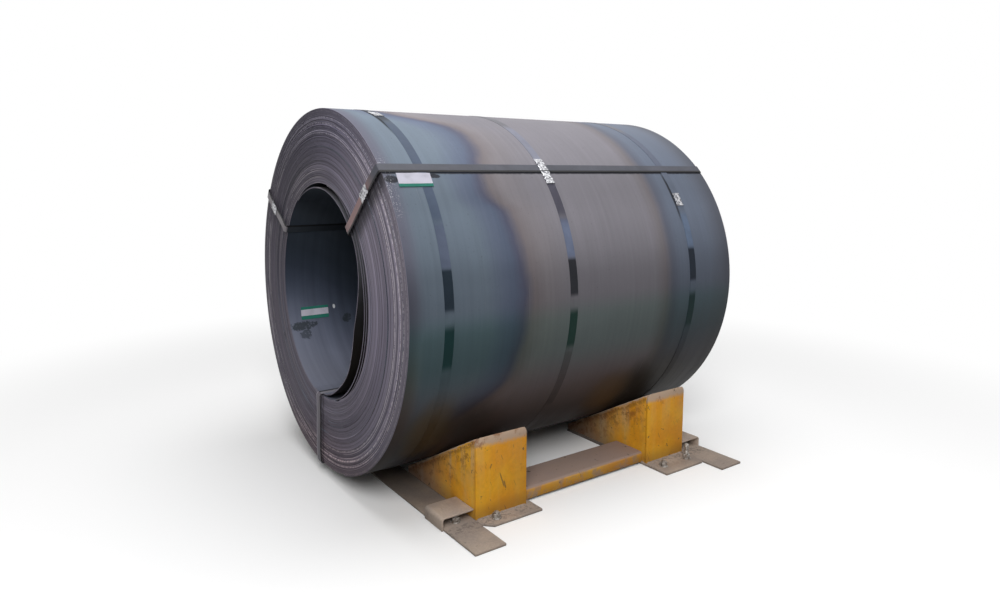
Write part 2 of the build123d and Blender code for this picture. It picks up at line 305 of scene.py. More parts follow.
def outerSteel(place):
    # the outside's colour, roughness and grain, which the ring straps share
    look = steelLook
    x, angle, _, up = coilPlace(place)
    height = up / outerR
    ragged = (place.noise(4, 3) - 0.5) * 0.06 + (place.noise(30, 3) - 0.5) * 0.016
    bands = {end: [(at, look[tint]) for at, tint in look[end]] for end in ("front", "rear")}
    bandFrom, bandReach = look["bandReach"]
    frontEdge = (angle / 360 + 0.5).curve(look["frontBand"]) * bandReach + bandFrom
    front = ((x - frontEdge + ragged) / look["bandSpan"] + 0.5).ramp(bands["front"])
    rear = ((look["rearBand"] - x + ragged * 0.5) / look["bandSpan"] + 0.5).ramp(bands["rear"])
    colour = x.rise(0.05, 0.15).mix(front, rear)
    green = height.rise(0.04, -0.10) * height.rise(-0.46, -0.20)
    colour = (green * 0.8).mix(colour, look["green"], "MULTIPLY")
    colour = (height.rise(-0.22, -0.60) * 0.9).mix(colour, look["brown"], "MULTIPLY")
    # the front rim is greyer, and browner low down
    rim = x.rise(frontX + 0.065, frontX + 0.010)
    colour = (rim * height.rise(-0.15, 0.10)).mix(colour, look["rim"], "MULTIPLY")
    colour = (rim * height.rise(-0.05, -0.35)).mix(colour, look["lowRim"], "MULTIPLY")
    # rolling streaks run round the coil
    streaks = place.stretch(55, 1.4, 1.4).noise(1.0, 5, 0.65)
    cloud = place.noise(3.2, 4, 0.6)
    grain = place.noise(520, 2)
    # painted light and shade by height, dark low down and lighter on top
    paintedHeightLight = (height * 0.5 + 0.5).curve(look["paintedLightCurve"])
    shade = 0.60 + streaks * 0.34 + cloud * 0.30 + grain * 0.16
    # painted shade at the two ends, most of all low down
    middle = height.rise(0.10, 0.20) * height.rise(0.62, 0.50)
    belly = height.rise(0.02, -0.12) * height.rise(-0.42, -0.22)
    ends = x.rise(frontX + 0.075, frontX) * (0.10 + height.rise(0.45, -0.15) * 0.36)
    ends = ends.most(x.rise(0.27, 0.40) * height.rise(0.20, -0.50) * 0.68)
    ends = ends.most(x.rise(0.62, rearX) * 0.22)
    ends = ends.most(x.rise(-0.25, -0.34) * belly * 0.22)
    ends = ends.most(x.rise(-0.25, -0.34) * middle * 0.12)
    ends = ends.most(x.rise(0.20, 0.34) * x.rise(0.56, 0.44) * height.rise(-0.34, -0.56) * 0.82)
    # painted highlight along the top, towards the front
    paintedTopSheen = height.rise(0.86, 0.98) * x.rise(-0.30, -0.45) * 0.14
    colour = colour.scaled(shade * paintedHeightLight * (1 - ends + paintedTopSheen))
    uneven = (cloud - 0.5) * 2.4
    # painted contact shadows, reflections of the yellow saddle and shadow lines beside lifted straps
    for along, level, halfX, halfAngle, tint, strength in look["paintedLightMarks"]:
        mark = patch(x, angle, (along, level), (halfX, halfAngle), uneven, (2.2, 0.1))
        colour = (mark * strength).mix(colour, tint)
    bump = (grain * 0.3 + streaks).bump(0.25, 0.0006)
    bump = cloud.bump(0.30, 0.006, bump)
    return colour, 0.40 + streaks * 0.16 + cloud * 0.10, bump


def coilOuterFinish():
    look = steelLook
    material, place = newFinish("coilOuter")
    colour, rough, bump = outerSteel(place)
    x, angle, radius, _ = coilPlace(place)
    scratch = place.stretch(420, 5, 5).noise(1.0, 2).rise(0.70, 0.78)
    specks = place.noise(130, 3, 0.6).rise(0.66, 0.76)
    colour = (specks * 0.5).mix(colour, look["speck"])
    colour = (scratch * 0.22).mix(colour, look["scratch"])
    torn = (place.noise(70, 4, 0.7) - 0.5) * 3.4
    colour = (patches(x, angle, look["stains"], torn) * 0.95).mix(colour, look["stain"])
    # painted shadow along the upper strap's lower edge, and flecks where the front edge was knocked beside
    # it
    under = sideways(angle, radius, eyeStraps["upper"]) + (place.noise(60, 3) - 0.5) * 0.006
    strapShadow = under.rise(-0.0245, -0.0205) * under.rise(-0.0120, -0.0140) * angle.rise(20, 25)
    colour = (strapShadow * 0.9).mix(colour, look["stain"])
    flecks = place.noise(190, 4, 0.7).rise(0.55, 0.63) * x.rise(frontX + 0.040, frontX + 0.012)
    flecks = flecks * angle.rise(24, 32) * angle.rise(50, 44)
    colour = (flecks * 0.8).mix(colour, look["fleck"])
    return dress(material, colour, rough, 0.10, bump)


endLook = {
    "dark": (0.136, 0.125, 0.172),
    "pale": (0.208, 0.190, 0.250),
    "warm": (0.200, 0.174, 0.198),
    "gap": (0.040, 0.036, 0.046),
    "bare": (0.78, 0.72, 0.77),
    "outer": (0.110, 0.100, 0.118),
    "grime": (0.024, 0.023, 0.027),
    "topCast": (0.78, 0.79, 0.90),
    # grime is the colour of the painted shadows beside the eye straps
    "lowCast": (0.74, 0.62, 0.60),
    # bright knocked edges: share of the radius, strength
    "rimLines": [(0.922, 0.9), (0.952, 0.7), (0.872, 0.5), (0.989, 0.4)],
}


def coilEndFinish():
    look = endLook
    material, place = newFinish("coilEnd")
    _, angle, radius, up = coilPlace(place)
    _, y, z = place.split()
    share = radius / outerR
    turn = (radius - boreR) / coil["stripT"]
    wander = place.noise(2.2, 3) * 1.8
    wound = turn + wander
    each = wound.lineNoise(0.85, 2)
    pairs = (turn * 1.02 + place.noise(3.1, 2) * 1.2 + 31.7).lineNoise(0.33, 1)
    colour = wound.lineNoise(0.12, 2).rise(0.30, 0.70).mix(look["dark"], look["pale"])
    colour = (place.noise(4, 4) * 0.5).mix(colour, look["warm"])
    # painted light and shade: the near half lighter, the far half darker
    paintedSideLight = 1.26 - y.rise(-0.50, 0.40) * 0.74
    colour = colour.scaled((0.06 + each * 1.15 + pairs * 0.72) * paintedSideLight)
    gaps = wound.lineNoise(0.62, 2).rise(0.42, 0.34)
    colour = (gaps * 0.62).mix(colour, look["gap"])
    # bare edges where turns were knocked, as fine lines that come and go
    bare = (turn * 0.9 + wander).lineNoise(1.3, 1).rise(0.55, 0.65)
    zone = share.rise(0.83, 0.89) * share.rise(0.985, 0.955)
    zone = zone.most(share.rise(0.76, 0.66) * up.rise(0.06, 0.26) * y.rise(-0.12, 0.05))
    zone = zone.most(0.12 * up.rise(-0.2, -0.35))
    longer = place.join(radius * 30, y * 3.4, z * 3.4).noise(1.0, 5, 0.75).rise(0.40, 0.54)
    lines = bare * zone * longer * 0.6
    flaked = place.noise(95, 4, 0.75).rise(0.42, 0.55)
    sway = (place.noise(5, 2) - 0.5) * 0.012
    for level, strength in look["rimLines"]:
        off = (share - level + sway).math("ABSOLUTE")
        lines = lines.most(off.rise(0.0060, 0.0025) * flaked * y.rise(0.46, -0.10) * strength)
    colour = lines.mix(colour, look["bare"])
    colour = (share.rise(0.962, 0.975) * 0.5).mix(colour, look["outer"])
    # painted shadow of the upper strap on the face beside it, and a painted shadow line along the lower one
    lee = sideways(angle, radius, eyeStraps["upper"])
    smear = lee + (place.noise(40, 4, 0.7) - 0.5) * 0.022
    grime = smear.rise(-0.085, -0.032) * lee.rise(0.004, -0.014)
    grime = grime * angle.rise(-20, 20) * share.rise(0.50, 0.62)
    low = sideways(angle, radius, eyeStraps["lower"])
    line = low.rise(0.0150, 0.0165) * low.rise(0.0225, 0.0190) * up.rise(-0.1, -0.2)
    colour = (grime * 0.85).most(line * 0.8).mix(colour, look["grime"])
    colour = (up.rise(0.36, 0.58) * 0.8).mix(colour, look["topCast"], "MULTIPLY")
    colour = (up.rise(-0.42, -0.58) * 0.8).mix(colour, look["lowCast"], "MULTIPLY")
    bump = (each + place.noise(260, 2) * 0.4).bump(0.4, 0.0012)
    return dress(material, colour, 0.46 + each * 0.2, 0.14, bump)


boreLook = {
    # painted light and shade on the eye's wall, from the bottom up: lit low down, darkest part way up,
    # lighter at the top, moved on by the depth in the eye
    "wall": [
        (0.24, (0.150, 0.160, 0.205)), (0.33, (0.140, 0.153, 0.204)),
        (0.38, (0.106, 0.119, 0.166)), (0.435, (0.066, 0.078, 0.112)),
        (0.478, (0.045, 0.055, 0.081)), (0.53, (0.030, 0.038, 0.056)),
        (0.60, (0.028, 0.036, 0.050)), (0.675, (0.043, 0.054, 0.072)),
        (0.72, (0.070, 0.084, 0.105)), (0.78, (0.115, 0.132, 0.158)),
    ],
    "stain": (0.022, 0.028, 0.034),
    "stains": [
        (-0.660, -150.6, 0.056, 2.6, 1.0),
        (-0.468, -152.5, 0.018, 2.8, 1.0),
        (-0.652, -145.0, 0.022, 3.4, 0.8),
    ],
    "chip": (0.55, 0.57, 0.60),
    "chips": [(-0.515, -160.6, 0.005, 1.3, 1.0)],
    # painted light and shade on the laps' outer faces by angle: lit part way up, dark deep in the gap
    # behind them
    "back": [
        (0.22, (0.012, 0.010, 0.009)), (0.42, (0.014, 0.012, 0.011)),
        (0.50, (0.026, 0.026, 0.028)), (0.57, (0.066, 0.067, 0.076)),
        (0.68, (0.095, 0.094, 0.106)), (0.76, (0.070, 0.066, 0.066)),
        (0.84, (0.022, 0.020, 0.020)),
    ],
}


def coilBoreFinish():
    look = boreLook
    material, place = newFinish("coilBore")
    x, angle, _, up = coilPlace(place)
    streaks = place.stretch(40, 1.6, 1.6).noise(1.0, 4, 0.6)
    cloud = (place.noise(3.0, 4) - 0.5) * 0.12
    # painted light and shade up the wall, moved on by the depth
    deeper = (x - frontX) * 0.45
    colour = (up / outerR * 0.5 + 0.48 + cloud + deeper).ramp(look["wall"])
    colour = colour.scaled(0.70 + streaks * 0.55)
    torn = (place.noise(46, 5, 0.75) - 0.5) * 4.4
    spatter = place.noise(60, 5, 0.75).rise(0.33, 0.48)
    stains = patches(x, angle, look["stains"], torn)
    colour = (stains * spatter * 0.85).mix(colour, look["stain"])
    colour = patches(x, angle, look["chips"], torn * 0.3).mix(colour, look["chip"])
    return dress(material, colour, 0.42 + streaks * 0.18, 0.10, streaks.bump(0.2, 0.0006))


def lapBackFinish():
    material, place = newFinish("lapBack")
    angle = coilPlace(place)[1]
    wear = place.noise(24, 4, 0.6)
    # painted light and shade by angle
    colour = (angle / 360 + 0.5).ramp(boreLook["back"]).scaled(0.7 + wear * 0.6)
    return dress(material, colour, 0.5 + wear * 0.2, 0.08)


# Finishes of straps, seals and labels

ringLook = {
    # painted reflections of sky and surroundings and painted shade, in runs round the straps: each run's
    # two angles, its blur, its colours on the front, middle and rear strap, and its strength
    "runs": [
        (-37, -15, 1.5, None, (0.020, 0.014, 0.014), None, 0.45),
        (-14.0, -2.5, 1.4, (0.008, 0.031, 0.031), (0.008, 0.030, 0.023), (0.008, 0.023, 0.023), 0.95),
        (1.9, 13.0, 0.9, (0.017, 0.026, 0.037), (0.023, 0.024, 0.029), (0.016, 0.021, 0.031), 0.97),
        (13.0, 25, 0.9, (0.094, 0.112, 0.165), (0.125, 0.153, 0.232), (0.122, 0.162, 0.240), 0.9),
        (25, 41, 3.0, (0.068, 0.088, 0.132), (0.060, 0.058, 0.079), (0.105, 0.122, 0.160), 0.9),
        (41, 66, 3.0, (0.064, 0.082, 0.124), (0.200, 0.208, 0.262), (0.112, 0.126, 0.170), 0.9),
        (66, 110, 3.0, (0.030, 0.034, 0.045), (0.140, 0.140, 0.158), (0.150, 0.150, 0.168), 0.9),
    ],
    "spare": (0.105, 0.108, 0.122),  # where the photo doesn't show the straps
}


def ringStrapFinish(name, number):
    look = ringLook
    material, place = newFinish("ringStrap_" + name)
    colour, _, bump = outerSteel(place)
    angle = coilPlace(place)[1]
    hidden = angle.rise(96, 112).most(angle.rise(-50, -66))
    colour = (hidden * 0.7).mix(colour, look["spare"])
    wear = place.noise(26, 4, 0.6)
    # painted reflections and shade, run by run
    for low, high, blur, *tints, strength in look["runs"]:
        if tints[number]:
            run = angle.rise(low - blur, low + blur) * angle.rise(high + blur, high - blur)
            colour = (run * strength).mix(colour, tints[number])
    colour = colour.scaled(0.75 + wear * 0.5)
    return dress(material, colour, 0.34 + wear * 0.2, 0.06, bump)


strapLook = {
    # eye colours: painted shade on the upper and back straps, painted light on the lower one
    "upper": {"face": (0.320, 0.205, 0.205), "eye": (0.030, 0.036, 0.044)},
    "back": {"face": (0.270, 0.250, 0.270), "eye": (0.030, 0.036, 0.044)},
    "lower": {"face": (0.135, 0.122, 0.144), "eye": (0.200, 0.195, 0.220)},
    "outside": (0.056, 0.058, 0.072),
    # line is the painted shade along a strap's edge, bare the painted highlight along the lower strap's
    # edge
    "line": (0.006, 0.006, 0.007),
    "bare": (0.330, 0.310, 0.350),
}


def eyeStrapFinish(name, middle):
    look = strapLook
    material, place = newFinish("eyeStrap_" + name)
    x, angle, radius, _ = coilPlace(place)
    wear = place.noise(30, 4, 0.65)
    rub = place.noise(9, 3)
    face = x.rise(frontX - 0.002, frontX - 0.006) * radius.rise(outerR + 0.001, outerR - 0.010)
    inside = (1 - face) * radius.rise(boreR + 0.03, boreR + 0.01)
    colour = rub.rise(0.3, 0.7).mix(look["outside"], tuple(channel * 1.4 for channel in look["outside"]))
    if name == "upper":
        face = face * radius.rise(outerR - 0.02, outerR - 0.12)
    colour = face.mix(colour, look[name]["face"])
    # painted shade in the eye on the upper and back straps, painted light on the lower one
    colour = inside.mix(colour, look[name]["eye"])
    colour = colour.scaled(0.75 + wear * 0.5)
    # painted shade: a dark line along one edge, and another in the eye; on the face the lower strap also
    # has a painted highlight along its other edge
    side = sideways(angle, radius, middle)
    if name == "lower":
        colour = (face * side.rise(-0.0105, -0.0125)).mix(colour, look["bare"])
        edge = side.rise(0.0115, 0.0135).most(inside * side.rise(-0.0040, -0.0080))
    else:
        edge = side.rise(-0.0075, -0.0100)
    colour = (edge * 0.97).mix(colour, look["line"])
    return dress(material, colour, 0.40 + wear * 0.25, 0.25, wear.bump(0.2, 0.0005))


def zincFinish(name, look):
    # bright metal, rougher where its second tint lies
    material, place = newFinish(name)
    wear = place.noise(look["grain"], 4, 0.65)
    colour = wear.rise(*look["edges"]).mix(look["first"], look["second"])
    smooth, rougher = look["rough"]
    return dress(material, colour, smooth + wear * rougher, 0.5, wear.bump(0.3, 0.0006), look["metallic"])


def paperFinish(name, tint):
    material, place = newFinish(name)
    fibre = place.noise(420, 4, 0.7)
    soil = place.noise(24, 4)
    colour = soil.rise(0.45, 0.8).mix(tint, tuple(channel * 0.78 for channel in tint))
    colour = colour.scaled(0.94 + fibre * 0.12)
    return dress(material, colour, 0.72, 0.25, (fibre + soil * 3).bump(0.3, 0.0004))


# Finishes of the saddle

paintLook = {
    "yellow": (0.860, 0.435, 0.024),
    "deep": (0.770, 0.325, 0.018),
    "pale": (0.740, 0.470, 0.110),
    "dust": (0.520, 0.392, 0.302),
    "grime": (0.270, 0.205, 0.182),
    "dirt": (0.085, 0.058, 0.038),
    "smear": (0.200, 0.078, 0.020),
    "rust": (0.270, 0.090, 0.022),
    # scratches on the front face: x, height, lean and half length
    "scratches": [
        (-0.352, 0.116, -0.34, 0.030),
        (-0.341, 0.098, -0.30, 0.016),
        (-0.396, 0.172, 0.4, 0.008),
    ],
    "slope": math.radians(29),  # of the bearing plates
    # depth of the dusty band, soil under the bearing edge, dust on the channel's lip and on what faces up
    "kinds": {
        "yellowFace": (0.040, 0.0, 0.0, "dust"),
        "yellowSide": (0.007, 1.0, 0.0, "dust"),
        "yellowChannel": (0.010, 0.0, 0.9, "grime"),
    },
}


def yellowFinish(name):
    look = paintLook
    bandDepth, soil, lipDust, topDust = look["kinds"][name]
    material, place = newFinish(name)
    facing = place.node("NewGeometry", out="Normal").split()[2]
    x, y, z = place.split()
    inward = faceY - y.math("ABSOLUTE")
    cloud = place.noise(6.5, 4, 0.6)
    fine = place.noise(75, 4, 0.65)
    drips = place.stretch(26, 26, 2.4).noise(1.0, 3)
    colour = cloud.rise(0.36, 0.66).mix(look["deep"], look["yellow"])
    colour = (drips.rise(0.5, 0.75) * (0.2 + soil * 0.35)).mix(colour, look["pale"])
    colour = colour.scaled(0.82 + fine * 0.36)
    # dust hangs below the sloped bearing plate's edge and lies on what faces up
    bearing = faceTop - inward * math.tan(look["slope"])
    below = bearing - z + (fine - 0.5) * 0.020 + (cloud - 0.5) * 0.018
    band = below.rise(bandDepth, bandDepth * 0.45)
    haze = below.rise(0.16, 0.02) * drips.rise(0.42, 0.7) * (0.15 + soil * 0.30)
    haze = haze.most(place.noise(8, 4, 0.6).rise(0.50, 0.68) * soil * 0.16)
    # the thin end under the coil turns grey-brown, and the channel's upper edge is grey with dust
    tip = (inward + (cloud - 0.5) * 0.2).rise(0.10, 0.36) * soil
    lip = z.rise(plateTop + 0.020, plateTop + 0.056) * (0.4 + drips * 0.9) * lipDust
    lip = lip.most(place.noise(16, 5, 0.7).rise(0.44, 0.60) * lipDust * 0.7)
    low = z.rise(0.070, 0.012) * (0.35 + fine * 0.9)
    top = facing.rise(0.25, 0.7)
    colour = (low * 0.55).mix(colour, look["dirt"])
    colour = (tip * 0.75).most(lip).mix(colour, look["grime"])
    colour = (band.most(haze) * 0.92).mix(colour, look["dust"])
    colour = (top * 0.92).mix(colour, look[topDust])
    # chips, scratches, smears and rust spots
    chips = place.noise(38, 5, 0.62).rise(0.655, 0.70)
    smears = place.noise(28, 6, 0.78).rise(0.50, 0.60) * below.rise(0.14, 0.010) * below.rise(0.0, 0.010)
    streak = below.rise(0.034, 0.018) * below.rise(0.008, 0.014) * fine.rise(0.36, 0.56) * 0.9
    smears = smears.most(streak) * soil
    scrape = place.join((x + z * 0.4) * 210, y * 40, (z - x * 0.4) * 14).noise(1.0, 2).rise(0.70, 0.76)
    for along, level, lean, half in look["scratches"]:
        height = z - level
        off = (x - along + height * -lean + (fine - 0.5) * 0.004).math("ABSOLUTE")
        cut = off.rise(0.0032, 0.0014) * height.math("ABSOLUTE").rise(half, half * 0.6)
        scrape = scrape.most(cut * y.rise(-0.57, -0.58))
    colour = (chips.most(scrape * 0.8) * 0.85).mix(colour, look["dirt"])
    colour = (smears * 0.75).mix(colour, look["smear"])
    rust = place.noise(17, 6, 0.7).rise(0.56 - soil * 0.07, 0.68)
    rust = rust * below.rise(0.19 + soil * 0.06, 0.03)
    colour = (rust * 0.75).mix(colour, look["rust"])
    rough = 0.50 + fine * 0.15 + band.most(top) * 0.25
    return dress(material, colour, rough, 0.35, (fine * 0.6 + chips * -0.8 + cloud).bump(0.4, 0.0015))


dustLook = {
    "dark": (0.262, 0.216, 0.186),
    "pale": (0.350, 0.280, 0.226),
    "edge": (0.420, 0.345, 0.290),
    "coilShadow": (0.060, 0.050, 0.043),
    "grit": (0.120, 0.098, 0.085),
    # the guides are painted lighter, as painted light where the coil shades them
    "paintedLightLevels": {"dustySteel": 1.0, "dustyGuide": 1.35},
}


def dustyFinish(name):
    look = dustLook
    material, place = newFinish(name)
    facing = place.node("NewGeometry", out="Normal").split()[2]
    out = place.split()[1].math("ABSOLUTE")
    cloud = place.noise(9, 4, 0.6)
    fine = place.noise(150, 4, 0.7)
    colour = cloud.rise(0.35, 0.68).mix(look["dark"], look["pale"])
    colour = (facing.rise(0.6, 0.0) * 0.35).mix(colour, look["edge"])
    # painted shadow under the coil, dark
    colour = (out.rise(0.47, 0.36) * 0.6).mix(colour, look["coilShadow"])
    # painted light on the guides
    colour = colour.scaled((0.72 + fine * 0.56) * look["paintedLightLevels"][name])
    bare = place.noise(30, 5, 0.65).rise(0.64, 0.72)
    # grit has gathered at the wedges' feet, round the bolts
    grit = place.noise(85, 4, 0.7).rise(0.50, 0.58)
    grit = grit * out.rise(faceY - 0.01, faceY) * out.rise(faceY + 0.075, faceY + 0.02)
    colour = (bare.most(grit) * 0.6).mix(colour, look["grit"])
    return dress(material, colour, 0.72 + fine * 0.16, 0.2, (fine + cloud).bump(0.45, 0.0012))


# Mesh helpers

def addObject(name, data):
    made = bpy.data.objects.new(name, data)
    bpy.context.scene.collection.objects.link(made)
    return made


def addMesh(name, bm, materials):
    mesh = bpy.data.meshes.new(name)
    bm.to_mesh(mesh)
    bm.free()
    for material in materials:
        mesh.materials.append(material)
    return addObject(name, mesh)


def addPiece(name, bm, materials, slot, *replaced, sharp=40):
    piece = addMesh(name, bm, materials)
    piece.data.shade_smooth()
    piece.data.set_sharp_from_angle(angle=math.radians(sharp))
    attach(piece, "root")
    if replaced:
        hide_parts(*replaced)
    return piece


def normalsOut(bm):
    bmesh.ops.recalc_face_normals(bm, faces=bm.faces)


def faceAway(bm, centre):
    # turns an open sheet's faces away from a point
    normalsOut(bm)
    if sum((face.calc_center_median() - centre).dot(face.normal) for face in bm.faces) < 0:
        bmesh.ops.reverse_faces(bm, faces=bm.faces[:])


def thicken(bm, thickness):
    bmesh.ops.solidify(bm, geom=bm.faces[:], thickness=thickness)
    normalsOut(bm)


def drawLine(bm, points, closed=True):
    # vertices at the points, and the edges from each to the next
    verts = [bm.verts.new(point) for point in points]
    first = 0 if closed else 1
    return verts, [bm.edges.new((verts[i - 1], verts[i])) for i in range(first, len(verts))]


def grow(bm, edges):
    # extrudes a row of edges and returns the new vertices and the new row
    made = bmesh.ops.extrude_edge_only(bm, edges=edges)["geom"]
    verts = [part for part in made if isinstance(part, bmesh.types.BMVert)]
    row = [part for part in made if isinstance(part, bmesh.types.BMEdge)]
    return verts, [edge for edge in row if all(vert in verts for vert in edge.verts)]


def fillHoles(bm):
    bmesh.ops.holes_fill(bm, edges=[edge for edge in bm.edges if edge.is_boundary], sides=0)


def bandMesh(points, across, thickness):
    # a closed strip along points, as wide as the vector across, thickened outwards
    bm = bmesh.new()
    edges = drawLine(bm, [point - across / 2 for point in points])[1]
    bmesh.ops.translate(bm, verts=grow(bm, edges)[0], vec=across)
    faceAway(bm, sum(points, Vector()) / len(points))
    thicken(bm, -thickness)
    return bm


# The coil: one strip wound round and round, with its tail and its head under the bottom

coil = {
    "turns": 63,
    "stripT": 0.004,
    "steps": 192,
    "tailAngle": -75.0,
    "stepFrom": 316.0,  # degrees after the tail where each turn climbs on to the next
    "edgeRound": 0.0007,
    "edgeDepth": 0.0018,
    "wander": 0.0026,  # how far a turn shifts along the axis
}


def turnShift(turn):
    # slow drifts and a small jitter from turn to turn
    drift = noise.noise(Vector((turn * 0.13, 3.1, 0.0))) * 1.3
    return coil["wander"] * (drift + 0.45 * noise.noise(Vector((turn * 1.7, 9.4, 0.0))))


def makeCoil():
    stripT, depth, lip = coil["stripT"], coil["edgeDepth"], coil["edgeRound"]
    end = [(depth, boreR)]
    for turn in range(coil["turns"]):
        inner = boreR + turn * stripT
        end += [(0, inner + lip), (0, inner + stripT - lip), (depth, inner + stripT)]
    profile = [(frontX + inset, radius) for inset, radius in end]
    profile += [(rearX - inset, radius) for inset, radius in reversed(end)]
    bm = bmesh.new()
    ring, edges = drawLine(bm, [polar(x, radius, coil["tailAngle"]) for x, radius in profile])
    bmesh.ops.spin(bm, geom=ring + edges, cent=(0, 0, axisZ), axis=(-1, 0, 0), angle=2 * math.pi,
                   steps=coil["steps"], use_merge=False)
    bm.verts.index_update()
    for vert in bm.verts:
        step, place = divmod(vert.index, len(profile))
        radius = profile[place][1]
        turned = 360 * step / coil["steps"]
        climb = max(0.0, (turned - coil["stepFrom"]) / (360 - coil["stepFrom"]))
        climb = climb * climb * (3 - 2 * climb)
        turn = (radius - boreR) / stripT - climb
        along = profile[place][0] + turnShift(turn)
        vert.co = polar(along, radius - stripT * climb, coil["tailAngle"] + turned)
    bmesh.ops.remove_doubles(bm, verts=bm.verts, dist=0.0001)
    fillHoles(bm)
    normalsOut(bm)
    for face in bm.faces:
        centre = face.calc_center_median()
        if abs(face.normal.x) > 0.3:
            face.material_index = 1
        elif Vector((centre.y, centre.z - axisZ)).length < (boreR + outerR) / 2:
            face.material_index = 2
    finishes = [coilOuterFinish(), coilEndFinish(), coilBoreFinish()]
    return addPiece("coil_strip", bm, finishes, "hot_rolled_steel", "steel_coil", sharp=50)


# Loose laps that hang off the eye's wall on the near side

laps = {
    "ends": (-104.0, 124.0),  # of the innermost lap, in degrees
    # mm off the wall, by angle
    "hang": {110: 9, 90: 19, 70: 31, 50: 41, 34: 46, 18: 64, 0: 92,
             -18: 106, -34: 90, -50: 64, -68: 44, -84: 21},
    # most hang, its angle, and the angles of the two ends
    "others": {"first": (40, 4, 80, -94), "second": (26, 2, 60, -70), "third": (13, 0, 40, -45)},
    "endHang": 4.2,  # mm from the wall to a lap's inner face at its ends
    "endTrim": 0.01,  # degrees off the innermost lap's ends
    "steps": 120,
    "lengths": 10,
    "inset": 0.002,
    "stagger": 0.0008,  # inset from one lap to the next
    "plates": 4,  # of the innermost lap in the frame
}


def innerHang(angle):
    # cubic steps through the table, in mm
    endHang = laps["endHang"]
    table = [(laps["ends"][0], endHang), *sorted(laps["hang"].items()), (laps["ends"][1], endHang)]
    slopes = [0, *[(b[1] - a[1]) / (b[0] - a[0]) for a, b in zip(table, table[2:])], 0]
    for i in range(len(table) - 1):
        (start, low), (end, high) = table[i], table[i + 1]
        if start <= angle <= end:
            run = end - start
            t = (angle - start) / run
            near = (1 + 2 * t) * (1 - t) ** 2 * low + t * (1 - t) ** 2 * run * slopes[i]
            return near + t * t * (3 - 2 * t) * high + t * t * (t - 1) * run * slopes[i + 1]
    return 0.0


def looseHang(name, angle):
    most, middle, top, low = laps["others"][name]
    end = top if angle > middle else low
    share = math.cos(math.pi / 2 * (angle - middle) / (end - middle)) ** 2
    return laps["endHang"] + (most - laps["endHang"]) * share


def innerLapR(angle):
    return boreR - innerHang(angle) / 1000


def lapMesh(hang, top, low, inset):
    bm = bmesh.new()
    angles = [top + (low - top) * i / laps["steps"] for i in range(laps["steps"] + 1)]
    line = [polar(frontX + inset, boreR - hang(angle) / 1000, angle) for angle in angles]
    edges = drawLine(bm, line, closed=False)[1]
    length = (coilWidth - 2 * inset) / laps["lengths"]
    for i in range(laps["lengths"]):
        verts, edges = grow(bm, edges)
        bmesh.ops.translate(bm, verts=verts, vec=(length, 0, 0))
    faceAway(bm, axisPoint)
    thicken(bm, -coil["stripT"])
    for face in bm.faces:
        if abs(face.normal.x) > 0.5:
            face.material_index = 1
        elif (face.calc_center_median() - axisPoint).yz.dot(face.normal.yz) > 0:
            face.material_index = 2
    return bm


def makeLaps(boreMaterial, endMaterial):
    finishes = [boreMaterial, endMaterial, lapBackFinish()]
    low, top = laps["ends"]
    bm = lapMesh(innerHang, top - laps["endTrim"], low + laps["endTrim"], laps["inset"])
    plates = [f"inner_lap_{i + 1}" for i in range(laps["plates"])]
    addPiece("inner_lap_strip", bm, finishes, "hot_rolled_steel", *plates)
    for number, (name, shape) in enumerate(laps["others"].items()):
        inset = laps["inset"] + laps["stagger"] * number
        bm = lapMesh(lambda angle: looseHang(name, angle), *shape[2:], inset)
        addPiece(f"loose_lap_{name}_strip", bm, finishes, "hot_rolled_steel", "loose_lap_" + name)


# Straps

eyeStraps = {name: nodeAngle("eye_strap_" + name) for name in ("upper", "back", "lower")}
straps = {
    "ringSteps": 192, "runSteps": 24, "wobble": 0.0012,
    # where the middle ring climbs over the upper eye strap: strap thicknesses, spread in degrees
    "crossing": (2.2, 4.0),
    "rearGap": 0.0045,  # from the coil's rear end
    "boreGap": 0.0012,
    "bend": 0.004,  # of the corners in the eye
    "corner": (0.002, 0.009),  # depths of the outer corners
    "straight": (0.06, 0.05),  # where the end runs are straight, from the outside and from the eye
    "frontBow": (0.002, 0.005, 0.008),  # how far the front run leans back on its way out
}


def makeRingStraps():
    climb, spread = straps["crossing"]
    for number, name in enumerate(("front", "middle", "rear")):
        node = "ring_strap_" + name
        x = middleOf(node).x
        points = []
        for i in range(straps["ringSteps"]):
            angle = 360 * i / straps["ringSteps"]
            sway = straps["wobble"] * noise.noise(polar(x * 9, 2, angle))
            over = 0.0
            if name == "middle":
                off = (angle - eyeStraps["upper"] + 180) % 360 - 180
                over = climb * strapT * math.exp(-(off / spread) ** 2)
            points.append(polar(x + sway, outerR + over, angle))
        bm = bandMesh(points, Vector((strapW, 0, 0)), strapT)
        addPiece("ring_band_" + name, bm, [ringStrapFinish(name, number)], "strap_steel", node)


